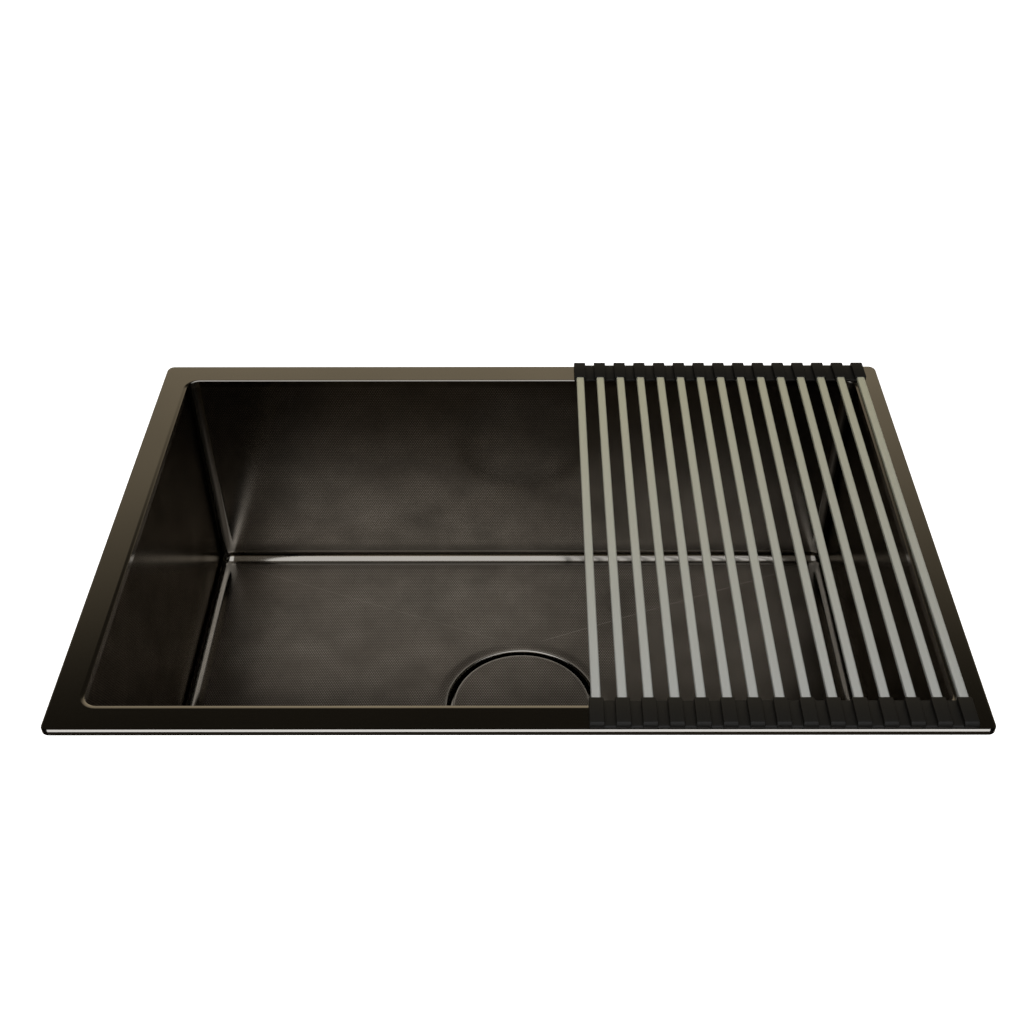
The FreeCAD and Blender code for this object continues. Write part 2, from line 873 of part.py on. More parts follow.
def cap_outline(number):
    """The front view of one link's soft end: a cap with half a web on each side that has a neighbour."""
    half_cap = size.cap_width / 2
    half_link = size.bar_pitch / 2 - size.web_gap / 2
    web, top = size.web_height, size.cap_height
    left = [(-half_cap, 0), (-half_cap, top)]
    right = [(half_cap, top), (half_cap, 0)]
    if number > 1:
        left = [(-half_link, 0), (-half_link, web), (-half_cap, web), (-half_cap, top)]
    if number < BAR_COUNT:
        right = [(half_cap, top), (half_cap, web), (half_link, web), (half_link, 0)]
    return left + right


def make_cap(number, end, centre):
    """One soft cap with its half webs, moulded with a blind seat for the bar's end."""
    body = new_body(f"rack_cap_{end}_{number:02d}")
    outer = rack_front if end == "front" else rack_rear
    inward = end == "front"
    sketch = new_sketch(body, "XZ_Plane", -outer)
    outline(sketch, cap_outline(number))
    moulded = pad(body, sketch, size.cap_length, flipped=inward)

    def outer_top(edge):
        box = edge.BoundBox
        in_end = abs(box.YMin - outer.value) < SAME and abs(box.YMax - outer.value) < SAME
        level = abs(box.ZMax - box.ZMin) < SAME and box.ZMin > SAME
        return in_end and level

    bevelled = chamfer(body, moulded, outer_top, size.cap_bevel)

    def cap_side(edge):
        return lies_at(edge, size.cap_height) and edge.BoundBox.YLength > size.cap_length.value / 2

    chamfer(body, bevelled, cap_side, size.cap_edge)
    inner_end = outer + size.cap_length if inward else outer - size.cap_length
    seat = new_sketch(body, "XZ_Plane", -inner_end)
    gap = size.seat_clearance * 2
    middle = size.cap_height / 2
    rectangle(seat, size.bar_width + gap, size.bar_height + gap, y=middle)
    pocket(body, seat, size.bar_seat, flipped=inward)
    bind(body, "Placement.Base.x", centre)
    return body


def make_rack():
    """The rack: a row of links, each a bar with a soft cap at either end, numbered from the left."""
    for number in range(1, BAR_COUNT + 1):
        centre = rack_right - size.bar_pitch * (BAR_COUNT - number)
        make_bar(number, centre)
        caps = [make_cap(number, end, centre) for end in ("front", "rear")]
        together(f"rack_ends_{number:02d}", caps)


# ---------------------------------------------------------------- build, check and write


def check():
    """Stops if a feature failed, a cut took nothing away, or a node isn't made of valid solids."""
    for thing in doc.Objects:
        if {"Invalid", "Error"} & set(thing.State):
            raise SystemExit(f"{thing.Name} failed: {thing.State}")
        if thing.TypeId == "PartDesign::Pocket":
            if thing.BaseFeature.Shape.Volume - thing.Shape.Volume < SAME:
                raise SystemExit(f"{thing.Name} cuts nothing")
    for node in nodes:
        shape = node.Shape
        if shape.isNull() or not shape.isValid() or not shape.Solids:
            raise SystemExit(f"{node.Label} has no valid solid")


def write():
    """Writes each node to its own file."""
    os.makedirs("parts", exist_ok=True)
    for node in nodes:
        node.Shape.exportStep(f"parts/{node.Label}.step")
        print(f"{node.Label}: {len(node.Shape.Solids)} solid, {node.Shape.Volume:.0f} mm3")


make_top_plate()
make_bowl()
make_rim_seal()
make_floor_pads()
make_wall_pads()
make_cover()
ring(
    "flange_gasket",
    size.cup_radius + size.thread_clearance,
    size.flange_radius - size.flange_thickness,
    recess_level,
    size.flange_gasket,
)
make_strainer_body()
make_clamp()
make_tail()
make_basket()
make_rack()
doc.recompute()
check()
write()
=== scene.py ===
"""Workstation kitchen sink: a gunmetal bowl under a flat rim, with a drain cover and a roll-up rack.

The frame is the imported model's: the origin is the middle of the bowl's mouth in the plane of the
rim's top, +X runs along the long side, +Y to the rear and +Z up. The sizes named here are in
millimetres, and those of the finishes, the light and the camera are in metres.
"""
import math

import bpy
import numpy as np
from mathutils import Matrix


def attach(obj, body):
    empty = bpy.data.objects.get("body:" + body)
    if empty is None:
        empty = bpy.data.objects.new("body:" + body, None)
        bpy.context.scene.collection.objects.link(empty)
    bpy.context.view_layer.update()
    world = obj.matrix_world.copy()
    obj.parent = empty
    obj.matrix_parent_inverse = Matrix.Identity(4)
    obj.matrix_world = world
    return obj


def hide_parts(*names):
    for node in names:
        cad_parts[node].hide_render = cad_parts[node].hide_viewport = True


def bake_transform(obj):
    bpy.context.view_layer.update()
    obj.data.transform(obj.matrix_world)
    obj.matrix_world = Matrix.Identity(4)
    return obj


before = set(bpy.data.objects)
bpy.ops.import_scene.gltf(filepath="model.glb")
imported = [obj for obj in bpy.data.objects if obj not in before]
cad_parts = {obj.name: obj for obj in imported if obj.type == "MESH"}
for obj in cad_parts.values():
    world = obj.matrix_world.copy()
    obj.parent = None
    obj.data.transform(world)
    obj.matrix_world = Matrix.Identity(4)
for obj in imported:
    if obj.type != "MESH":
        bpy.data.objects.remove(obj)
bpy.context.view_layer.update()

MM = 0.001
STEEL = 1.5
BORDER = 0.3  # a narrow row of faces beside a bend, which keeps the shading of the flat flat
SAME_ANGLE = 0.01  # radians

# the rim's outer edge, and the mouth's edge with its leg; a bevel of 2 is straight, and of 1 round
RIM = {"half_x": 381.0, "half_y": 254.0, "corner": 7.0, "drop": 5.4, "roll": 1.3, "bevel": 1.8}
MOUTH = {
    "half_x": 354.0,
    "half_y": 227.0,
    "corner": 12.0,
    "leg": 8.0,
    "ease": 3.4,
    "turn": 0.85,
    "bevel": 1.5,
}
REAR_TIGHT = 0.62
EDGE_STEPS = 8
FOOT_ROWS = 3  # the rows of the rim's section on each of its upright edges

# the bowl, and the four planes of its floor about a short valley
BOWL_DEPTH = 256.0
FLOOR_BEND = 10.0
FLOOR_FALL = 4.4
VALLEY_HALF = 85.0
VALLEY_SOFT = 1.5
FAN_RADIUS = 94.0
WALL_SHARES = (0, 0.0015, 0.06, 0.2, 0.4, 0.6, 0.8, 0.94, 0.995)
BEND_STEPS = 14
LEVEL_BEND_ROWS = 4  # the bend's last rows lie nearly level, and are mapped with the floor
FLOOR_ROWS = 26
DISH_ROWS = 7

# the drain's recess and its cover
LIP_ROLL = 2.6
RECESS_RADIUS = 78.5
LIP_RADIUS = RECESS_RADIUS + LIP_ROLL
RECESS_FLOOR = -273.0
RECESS_BEND = 2.0
STRAINER_HOLE = 45.5
COVER_RADIUS = 73.2
COVER_TOP = -261.0
COVER_THICK = 2.0
COVER_ROLL = 0.8
COVER_STEPS = 160

# the rack: its bars, and the soft caps and webs at their ends
BAR_COUNT = 15
BAR_PITCH = 21.25
LAST_BAR_X = 360.1
BAR = {"width": 8.0, "height": 4.6, "low": 0.7, "front": -243.8, "rear": 245.3, "corner": 1.4}
CAP = {"width": 12.0, "height": 6.0, "roll": 0.8, "run": 1.7, "fall": 2.2}
WEB = {"height": 2.0, "roll": 0.4, "run": 1.5, "fall": 0.7, "overlap": 0.6}
CAP_LENGTH = 28.2
RACK_FRONT = -252.0
RACK_REAR = 253.5
END_ROUND, JOIN_ROUND = 0.4, 0.8  # how far in a soft piece is rounded, at its outer end and its join
END_DROP, END_NARROWING = 0.4, 0.8  # how much lower and narrower it is there
BEVEL_SOFT = 0.25

# the worktop that the rim rests on
WORKTOP_LEVEL = -5.5
WORKTOP_HALF = 6000.0
CUTOUT_GAP = 9.0


# ---------------------------------------------------------------- meshes


def loop_course(side_x, side_y, turn):
    """The course of a rounded rectangle, anticlockwise: for each point the share of the way that the
    corner's centre has gone along x and y, from -1 to 1, and the angle at which the point stands
    off that centre. Point = (a * (half_x - r) + r cos, b * (half_y - r) + r sin)."""
    arc = np.linspace(0, np.pi / 2, turn + 1)
    share_x = np.cos(np.linspace(0, np.pi, side_x + 1)[1:-1])
    share_y = np.cos(np.linspace(0, np.pi, side_y + 1)[1:-1])
    one, row, column = np.ones_like(arc), np.ones_like(share_x), np.ones_like(share_y)
    a = [one, share_x, -one, -column, -one, -share_x, one, column]
    b = [one, row, one, share_y, -one, -row, -one, -share_y]
    quarter = np.pi / 2
    angle = [arc, quarter * row, arc + quarter, 2 * quarter * column]
    angle += [arc + 2 * quarter, 3 * quarter * row, arc + 3 * quarter, 4 * quarter * column]
    return np.concatenate(a), np.concatenate(b), np.concatenate(angle)


def loops(course, half_x, half_y, corner):
    """Rounded rectangles of given half sizes and corner radii, one row of (x, y) for each."""
    a, b, angle = course
    hx, hy, r = (np.asarray(v, float)[:, None] for v in (half_x, half_y, corner))
    return np.stack([a * (hx - r) + r * np.cos(angle), b * (hy - r) + r * np.sin(angle)], -1)


def ring_quads(rows, count):
    """Quads between neighbouring closed rings: (r, n), (r, n+1), (r+1, n+1), (r+1, n)."""
    here = np.arange(count)
    after = (here + 1) % count
    row = np.arange(rows - 1)[:, None] * count
    return np.stack([row + here, row + after, row + after + count, row + here + count], -1)


def quarter_roll(across, down, steps, power=1.0):
    """A quarter of an ellipse: how far it has gone in, a (1 - cos^p t), and is down, d (1 - sin^p t).
    A power of 2 makes it a straight bevel, and powers between make a bevel with rounded edges."""
    turn = np.linspace(0, np.pi / 2, steps + 1)
    return across * (1 - np.cos(turn) ** power), down * (1 - np.sin(turn) ** power)


def make_mesh(name, points, faces, material):
    """A smooth mesh from points in millimetres and lists of corners."""
    mesh = bpy.data.meshes.new(name)
    mesh.from_pydata((np.reshape(points, (-1, 3)) * MM).tolist(), [], faces)
    mesh.shade_smooth()
    mesh.materials.append(material)
    piece = bpy.data.objects.new(name, mesh)
    bpy.context.scene.collection.objects.link(piece)
    return piece


def closed_rings(rings):
    """Faces of a tube of closed rings with a flat face at each end."""
    rows, count = rings.shape[:2]
    faces = ring_quads(rows, count).reshape(-1, 4).tolist()
    first = list(range(count))
    last = list(range((rows - 1) * count, rows * count))
    return faces + [first[::-1], last]


def spin(profile, count):
    """Rings about Z from a profile of (radius, z): (r cos t, r sin t, z)."""
    t = np.arange(count) * 2 * np.pi / count
    r, z = profile[:, :1], profile[:, 1:]
    return np.stack([r * np.cos(t), r * np.sin(t), z + 0 * t], -1)


# ---------------------------------------------------------------- nodes of the finishes


def add_node(tree, kind, settings=(), **fed):
    """A node with its settings, its inputs given as values or as the sockets that feed them."""
    made = tree.nodes.new(kind)
    for key, value in dict(settings).items():
        setattr(made, key, value)
    for key, value in fed.items():
        feed(tree, made.inputs[key.replace("_", " ")], value)
    return made


def span_node(tree, share, **ends):
    """A number that goes evenly between two, as a share goes from 0 to 1 or between its own ends."""
    return add_node(tree, "ShaderNodeMapRange", Value=share, **ends).outputs[0]


def eased_node(tree, share, **ends):
    """A number that eases away from one end and into the other."""
    eased = {"interpolation_type": "SMOOTHSTEP"}
    return add_node(tree, "ShaderNodeMapRange", eased, Value=share, **ends).outputs[0]


def feed(tree, socket, value):
    """Links a socket into an input, or sets the input's own value."""
    if isinstance(value, bpy.types.NodeSocket):
        tree.links.new(value, socket)
    else:
        socket.default_value = value


def math_node(tree, operation, *values, clamp=False):
    """The result of a math node fed by up to three values."""
    made = add_node(tree, "ShaderNodeMath", {"operation": operation, "use_clamp": clamp})
    for socket, value in zip(made.inputs, values):
        feed(tree, socket, value)
    return made.outputs[0]


def vector_node(tree, operation, *values):
    """The result of a vector math node."""
    made = add_node(tree, "ShaderNodeVectorMath", {"operation": operation})
    for socket, value in zip(made.inputs, values):
        feed(tree, socket, value)
    return made.outputs["Value" if operation in ("LENGTH", "DOT_PRODUCT") else "Vector"]


def new_group(name, inputs, outputs):
    """An empty node group with its inputs (name, kind, value) and outputs (name, kind)."""
    group = bpy.data.node_groups.new(name, "ShaderNodeTree")
    for label, kind, value in inputs:
        socket = group.interface.new_socket(label, in_out="INPUT", socket_type=kind)
        if value is not None:
            socket.default_value = value
    for label, kind in outputs:
        group.interface.new_socket(label, in_out="OUTPUT", socket_type=kind)
    return group, group.nodes.new("NodeGroupInput").outputs, group.nodes.new("NodeGroupOutput").inputs


def make_honeycomb():
    """Low domes on a honeycomb: the nearer of two grids of points, one set half a cell off, gives
    the distance from a dome's middle; the height falls from 1 there to 0 at its foot."""
    group, given, out = new_group(
        "pressed_honeycomb",
        [("Place", "NodeSocketVector", None), ("Pitch", "NodeSocketFloat", 0.003)],
        [("Height", "NodeSocketFloat")],
    )
    wide = given["Pitch"]
    tall = math_node(group, "MULTIPLY", wide, math.sqrt(3))
    cell = add_node(group, "ShaderNodeCombineXYZ", X=wide, Y=tall, Z=1.0).outputs[0]
    half = vector_node(group, "MULTIPLY", cell, (0.5, 0.5, 0.5))
    other_half = vector_node(group, "MULTIPLY", cell, (-0.5, -0.5, -0.5))
    starts = [given["Place"], vector_node(group, "SUBTRACT", given["Place"], half)]
    near = [vector_node(group, "WRAP", start, half, other_half) for start in starts]
    flat = [vector_node(group, "MULTIPLY", place, (1.0, 1.0, 0.0)) for place in near]
    nearest = math_node(group, "MINIMUM", *(vector_node(group, "LENGTH", place) for place in flat))
    share = math_node(group, "DIVIDE", nearest, wide)
    group.links.new(eased_node(group, share, From_Min=0.46, From_Max=0.12), out["Height"])
    return group


def make_long_grain():
    """Fine brushed grain: noise drawn out along one axis of the place that it is given."""
    group, given, out = new_group(
        "brushed_grain",
        [
            ("Place", "NodeSocketVector", None),
            ("Fineness", "NodeSocketVector", (4000.0, 25.0, 4000.0)),
        ],
        [("Streaks", "NodeSocketFloat")],
    )
    drawn = vector_node(group, "MULTIPLY", given["Place"], given["Fineness"])
    noise = add_node(group, "ShaderNodeTexNoise", Vector=drawn, Scale=1.0, Detail=3.0)
    group.links.new(noise.outputs["Fac"], out["Streaks"])
    return group


def make_soft_clouds():
    """Slow uneven shading over a finish: two sizes of soft noise, from 0 to 1."""
    group, given, out = new_group(
        "soft_clouds",
        [("Place", "NodeSocketVector", None), ("Scale", "NodeSocketFloat", 9.0)],
        [("Cloud", "NodeSocketFloat")],
    )
    noise = add_node(group, "ShaderNodeTexNoise", Vector=given["Place"], Scale=given["Scale"], Detail=2.0)
    spread = span_node(group, noise.outputs["Fac"], From_Min=0.3, From_Max=0.7)
    group.links.new(spread, out["Cloud"])
    return group


def use_group(tree, group, **fed):
    """One use of a shared effect."""
    made = tree.nodes.new("ShaderNodeGroup")
    made.node_tree = group
    for key, value in fed.items():
        feed(tree, made.inputs[key], value)
    return made.outputs[0]


def new_finish(name, **constants):
    """A material's tree and its shader, with the constants set on the shader's own sockets."""
    material = bpy.data.materials.new(name)
    material.use_nodes = True
    tree = material.node_tree
    shader = tree.nodes["Principled BSDF"]
    for key, value in constants.items():
        shader.inputs[key.replace("_", " ")].default_value = value
    return material, tree, shader


def place_of(tree):
    """The place on the piece in metres, in its own frame."""
    return tree.nodes.new("ShaderNodeTexCoord").outputs["Object"]


def sheet_place(tree):
    """The place on the unrolled sheet, in metres, from the piece's own map."""
    return tree.nodes.new("ShaderNodeTexCoord").outputs["UV"]


def carried(tree, name):
    """A share that the piece's own points carry under a name."""
    share = tree.nodes.new("ShaderNodeAttribute")
    share.attribute_name = name
    return share.outputs["Fac"]


def blended(tree, share, low, high):
    """A colour between two, by a share from 0 to 1."""
    mix = tree.nodes.new("ShaderNodeMix")
    mix.data_type = "RGBA"
    feed(tree, mix.inputs["Factor"], share)
    for socket, colour in ((mix.inputs["A"], low), (mix.inputs["B"], high)):
        feed(tree, socket, colour if isinstance(colour, bpy.types.NodeSocket) else (*colour, 1))
    return mix.outputs["Result"]


def between(tree, share, low, high):
    """A number between two, by a share from 0 to 1."""
    return span_node(tree, share, To_Min=low, To_Max=high)


def raise_surface(tree, shader, *reliefs):
    """Chains bumps into the shader's normal: each relief is (height, how high in metres)."""
    normal = None
    for height, distance in reliefs:
        bump = add_node(tree, "ShaderNodeBump", Height=height, Strength=1.0, Distance=distance)
        if normal is not None:
            tree.links.new(normal, bump.inputs["Normal"])
        normal = bump.outputs["Normal"]
    tree.links.new(normal, shader.inputs["Normal"])


honeycomb = make_honeycomb()
long_grain = make_long_grain()
soft_clouds = make_soft_clouds()

RIM_DARK, RIM_PALE, BEVEL_HIGHLIGHT = (0.285, 0.27, 0.248), (0.32, 0.302, 0.278), (0.52, 0.50, 0.475)
# the paler dome colours of the floor and the walls are a painted sheen on the honeycomb's domes
FLOOR_DARK, FLOOR_DOME_SHEEN, FLOOR_WARM = (0.118, 0.107, 0.092), (0.50, 0.461, 0.413), (0.19, 0.16, 0.138)
WALL_DARK, WALL_DOME_SHEEN = (0.25, 0.239, 0.222), (0.80, 0.757, 0.70)
# CREASE_HIGHLIGHT is a painted highlight along the floor's creases
BEND_STEEL, CREASE_HIGHLIGHT = (0.36, 0.34, 0.312), (0.62, 0.58, 0.53)
# painted shade: the upright corners are darkened, and so is the line where the rear bend runs out into the
# floor
CORNER_SHADE, BEND_LINE_SHADE = (0.20, 0.19, 0.175), (0.05, 0.047, 0.043)
WALL_ROUGH, BEND_ROUGH = 0.17, 0.10
HONEYCOMB_PITCH, FLOOR_DOME, COVER_DOME = 0.0026, 0.000015, 0.00004
PLATING_GRAIN, STEEL_GRAIN = 0.000002, 0.000006


def gunmetal_flat():
    """The rim's smooth dark plating over a fine grain along its length, with a painted highlight on its
    outer bevel.
    """
    material, tree, shader = new_finish("gunmetal_flat", Metallic=1.0)
    place = place_of(tree)
    grain = use_group(tree, long_grain, Place=place, Fineness=(30.0, 3500.0, 3500.0))
    cloud = use_group(tree, soft_clouds, Place=place, Scale=6.0)
    plating = blended(tree, cloud, RIM_DARK, RIM_PALE)
    # the outer bevel's paler colour is a painted highlight
    tree.links.new(blended(tree, carried(tree, "bevel"), plating, BEVEL_HIGHLIGHT), shader.inputs["Base Color"])
    tree.links.new(between(tree, grain, 0.08, 0.13), shader.inputs["Roughness"])
    raise_surface(tree, shader, (grain, PLATING_GRAIN))
    return material


def gunmetal_pressed(name, dome, rough):
    """The bowl's plating over a sheet pressed with a fine honeycomb, brushed down its walls. The
    domes are painted paler as a painted sheen, more in some places than in others, and the floor's creases
    carry a painted highlight. The bends and corners, where the pattern stops, stay smooth; the upright
    corners are painted darker as painted shade, and so is a line where the rear bend runs out into the
    floor."""
    material, tree, shader = new_finish(name, Metallic=1.0, Specular_Tint=(0.26, 0.245, 0.225, 1))
    place = sheet_place(tree)
    share, level, crease, line = (carried(tree, n) for n in ("pressed", "floor", "crease", "line"))
    height = use_group(tree, honeycomb, Place=place, Pitch=HONEYCOMB_PITCH)
    domes = math_node(tree, "MULTIPLY", height, share)
    grain = use_group(tree, long_grain, Place=place, Fineness=(2600.0, 40.0, 1.0))
    cloud = use_group(tree, soft_clouds, Place=place, Scale=22.0)
    # painted sheen: the domes are painted paler, by an uneven share
    highlight_share = math_node(tree, "MULTIPLY", domes, between(tree, cloud, 0.35, 1.0))
    sheened_floor = blended(tree, highlight_share, FLOOR_DARK, FLOOR_DOME_SHEEN)
    slow = use_group(tree, soft_clouds, Place=place, Scale=9.0)
    warmed = blended(tree, math_node(tree, "MULTIPLY", slow, 0.3), sheened_floor, FLOOR_WARM)
    creased = blended(tree, crease, warmed, CREASE_HIGHLIGHT)
    sides = blended(tree, highlight_share, WALL_DARK, WALL_DOME_SHEEN)
    upright = blended(tree, level, sides, creased)
    # the upright corners and the line at the rear bend's foot are painted dark, as painted shade
    bends = blended(tree, line, blended(tree, level, CORNER_SHADE, BEND_STEEL), BEND_LINE_SHADE)
    tree.links.new(blended(tree, share, bends, upright), shader.inputs["Base Color"])
    scatter = between(tree, grain, -0.018, 0.018)
    flat_rough = math_node(tree, "ADD", between(tree, level, WALL_ROUGH, rough), scatter)
    gap = math_node(tree, "SUBTRACT", flat_rough, BEND_ROUGH)
    tree.links.new(math_node(tree, "MULTIPLY_ADD", gap, share, BEND_ROUGH), shader.inputs["Roughness"])
    relief = math_node(tree, "MULTIPLY", domes, between(tree, level, 0.6, 1.0))
    raise_surface(tree, shader, (relief, dome), (grain, PLATING_GRAIN))
    return material


def undercoat():
    """The rubbery grey paint sprayed on the bowl's outside."""
    material, tree, shader = new_finish("undercoat", Roughness=0.85)
    place = place_of(tree)
    speck = add_node(tree, "ShaderNodeTexNoise", Vector=place, Scale=900.0, Detail=4.0).outputs["Fac"]
    paint = blended(tree, speck, (0.05, 0.05, 0.052), (0.11, 0.11, 0.115))
    tree.links.new(paint, shader.inputs["Base Color"])
    raise_surface(tree, shader, (speck, 0.0003))
    return material


def brushed_steel(name, colour, rough, fineness):
    """Bare steel with a grain drawn along one axis."""
    material, tree, shader = new_finish(name, Metallic=1.0)
    place = place_of(tree)
    grain = use_group(tree, long_grain, Place=place, Fineness=fineness)
    darker = tuple(0.86 * c for c in colour)
    tree.links.new(blended(tree, grain, darker, colour), shader.inputs["Base Color"])
    tree.links.new(between(tree, grain, rough - 0.07, rough + 0.07), shader.inputs["Roughness"])
    raise_surface(tree, shader, (grain, STEEL_GRAIN))
    return material


def satin_bars():
    """The rack's satin bars: a grain along Y, with a painted reflection that is cooler to the front and
    warmer to the rear.
    """
    material, tree, shader = new_finish("rack_steel", Metallic=0.74)
    place = place_of(tree)
    grain = use_group(tree, long_grain, Place=place, Fineness=(2500.0, 14.0, 2500.0))
    along = add_node(tree, "ShaderNodeSeparateXYZ", Vector=place).outputs["Y"]
    rearward = span_node(tree, along, From_Min=BAR["front"] * MM, From_Max=BAR["rear"] * MM)
    # painted reflection: the steel's tint goes from cool at the front to warm at the rear
    steel = blended(tree, rearward, (0.86, 0.89, 0.895), (1.0, 1.0, 0.8))
    darker = blended(tree, rearward, (0.76, 0.785, 0.79), (0.91, 0.92, 0.73))
    tree.links.new(blended(tree, grain, darker, steel), shader.inputs["Base Color"])
    tree.links.new(between(tree, grain, 0.52, 0.66), shader.inputs["Roughness"])
    raise_surface(tree, shader, (grain, STEEL_GRAIN))
    return material


def soft_rubber(name, colour, rough, grit):
    """Moulded rubber or silicone with a fine matt skin."""
    material, tree, shader = new_finish(name, Specular_IOR_Level=0.3)
    place = place_of(tree)
    skin = add_node(tree, "ShaderNodeTexNoise", Vector=place, Scale=grit, Detail=3.0).outputs["Fac"]
    paler = tuple(1.25 * c for c in colour)
    tree.links.new(blended(tree, skin, colour, paler), shader.inputs["Base Color"])
    tree.links.new(between(tree, skin, rough - 0.08, rough + 0.08), shader.inputs["Roughness"])
    raise_surface(tree, shader, (skin, 0.00003))
    return material


FINISHES = {
    "gunmetal": gunmetal_flat(),
    "pressed": gunmetal_pressed("gunmetal_pressed", FLOOR_DOME, 0.28),
    "cover_gunmetal": gunmetal_pressed("gunmetal_cover", COVER_DOME, 0.30),
    "undercoat": undercoat(),
    "rack_steel": satin_bars(),
    "drain_steel": brushed_steel("drain_steel", (0.62, 0.61, 0.59), 0.24, (60.0, 60.0, 5000.0)),
    "rack_silicone": soft_rubber("rack_silicone", (0.0075, 0.007, 0.0062), 0.5, 1500.0),
    "seal": soft_rubber("black_gasket", (0.015, 0.015, 0.015), 0.6, 1200.0),
    "foot_rubber": soft_rubber("foot_rubber", (0.02, 0.02, 0.02), 0.6, 1200.0),
    "stopper_rubber": soft_rubber("stopper_rubber", (0.018, 0.018, 0.018), 0.5, 1200.0),
    "sound_pad": soft_rubber("sound_pad", (0.045, 0.045, 0.048), 0.8, 700.0),
    "friction_ring": soft_rubber("friction_ring", (0.55, 0.54, 0.5), 0.5, 900.0),
    "nut_plastic": soft_rubber("nut_plastic", (0.68, 0.68, 0.66), 0.4, 1000.0),
}


# ---------------------------------------------------------------- the rim and the bowl


SINK_STEPS = (60, 92, 8)
SINK_COURSE = loop_course(*SINK_STEPS)


def rim_section():
    """The rim's section as rows of (half_x, half_y, corner, z): up its outer edge, over a
    rounded bevel, across the flat, over a shallower bevel and down the mouth's leg."""
    over, under = quarter_roll(RIM["roll"], RIM["roll"], EDGE_STEPS, RIM["bevel"])
    inset = np.concatenate([[0] * FOOT_ROWS, over, [RIM["roll"] + BORDER]])
    foot = [-RIM["drop"], -RIM["drop"] + BORDER, -RIM["roll"] - BORDER]
    edge_z = np.concatenate([foot, -under, [0]])
    over, under = quarter_roll(MOUTH["ease"], MOUTH["turn"], EDGE_STEPS, MOUTH["bevel"])
    outset = np.concatenate([[MOUTH["ease"] + BORDER], over[::-1], [0] * FOOT_ROWS])
    foot = [-MOUTH["turn"] - BORDER, -MOUTH["leg"] + BORDER, -MOUTH["leg"]]
    mouth_z = np.concatenate([[0], -under[::-1], foot])
    half_x = np.concatenate([RIM["half_x"] - inset, MOUTH["half_x"] + outset])
    half_y = np.concatenate([RIM["half_y"] - inset, MOUTH["half_y"] + outset])
    corner = np.concatenate([RIM["corner"] - inset, MOUTH["corner"] + outset])
    return half_x, half_y, corner, np.concatenate([edge_z, mouth_z])


def make_rim():
    """The rim: rounded rectangles carried through the rim's section. The mouth's rear edge is bent
    tighter than the rest, so that its bevel is drawn in along y by a share of its run."""
    half_x, half_y, corner, z = rim_section()
    row = np.arange(len(z)) - FOOT_ROWS
    on_bevel = (row > 0) & (row < EDGE_STEPS)
    flat = loops(SINK_COURSE, half_x, half_y, corner)
    outset = half_y - MOUTH["half_y"]
    tighter = np.where(outset < MOUTH["ease"] + 1, REAR_TIGHT * outset, 0)
    flat[..., 1] -= tighter[:, None] * np.clip(SINK_COURSE[1], 0, 1)
    level = np.broadcast_to(z[:, None, None], (*flat.shape[:2], 1))
    rings = np.concatenate([flat, level], -1)
    faces = ring_quads(*rings.shape[:2]).reshape(-1, 4).tolist()
    rim = make_mesh("rim_plate", rings, faces, FINISHES["gunmetal"])
    carry_share(rim, "bevel", on_bevel[:, None] + np.zeros(rings.shape[:2]))
    sharpen_borders(rim, rings.shape[1])
    thicken(rim)
    return rim


def sharpen_borders(piece, count):
    """Keeps the shading of a sheet's first and last rings apart from its cut edges."""
    mesh = piece.data
    ends = np.zeros(len(mesh.edges) * 2, np.int32)
    mesh.edges.foreach_get("vertices", ends)
    ends = ends.reshape(-1, 2)
    border = (ends < count).all(1) | (ends >= len(mesh.vertices) - count).all(1)
    layer = mesh.attributes.new("sharp_edge", "BOOLEAN", "EDGE")
    layer.data.foreach_set("value", border)


def thicken(piece, behind=0):
    """Gives a sheet its steel thickness behind its outer face, in its own or the next material."""
    sheet = piece.modifiers.new("steel", "SOLIDIFY")
    sheet.thickness = STEEL * MM
    sheet.offset = -1
    sheet.use_even_offset = True
    sheet.material_offset = behind
    sheet.material_offset_rim = behind


FLOOR_HALF_X = MOUTH["half_x"] - FLOOR_BEND
FLOOR_HALF_Y = MOUTH["half_y"] - FLOOR_BEND


def floor_level(x, y):
    """The four falls of the floor: it rises with |x| from the valley and with |y| past the valley's
    ends, and the higher of the two planes is the floor."""
    from_valley = np.hypot(x, VALLEY_SOFT) - VALLEY_SOFT
    along = from_valley / FLOOR_HALF_X
    across = (np.abs(y) - VALLEY_HALF) / (FLOOR_HALF_Y - VALLEY_HALF)
    return FLOOR_FALL * (np.maximum(along, across) - 1) - BOWL_DEPTH


def crease_angle():
    """Where the crease from a corner of the floor to the valley's end meets the fan's circle:
    the root of x^2 + (valley + slope x)^2 = radius^2."""
    slope = (FLOOR_HALF_Y - VALLEY_HALF) / FLOOR_HALF_X
    square, linear, rest = 1 + slope**2, 2 * slope * VALLEY_HALF, VALLEY_HALF**2 - FAN_RADIUS**2
    x = (-linear + math.sqrt(linear**2 - 4 * square * rest)) / (2 * square)
    return math.atan2(VALLEY_HALF + slope * x, x)


def drain_angles(side_x, side_y, turn):
    """For each point of the sink's course the angle at which it reaches the drain: the corners
    gather beside the creases and the sides spread evenly between them."""
    crease, spread = crease_angle(), math.radians(1.2)
    arc = np.linspace(-spread, spread, turn + 1)
    row = np.cos(np.linspace(0, np.pi, side_x + 1)[1:-1]) * (np.pi / 2 - crease - spread)
    column = np.cos(np.linspace(0, np.pi, side_y + 1)[1:-1]) * (crease - spread)
    half, whole = np.pi, 2 * np.pi
    parts = [crease + arc, half / 2 - row, half - crease + arc, half - column]
    parts += [half + crease + arc, 1.5 * half - row, whole - crease + arc, whole - column]
    return np.concatenate(parts)


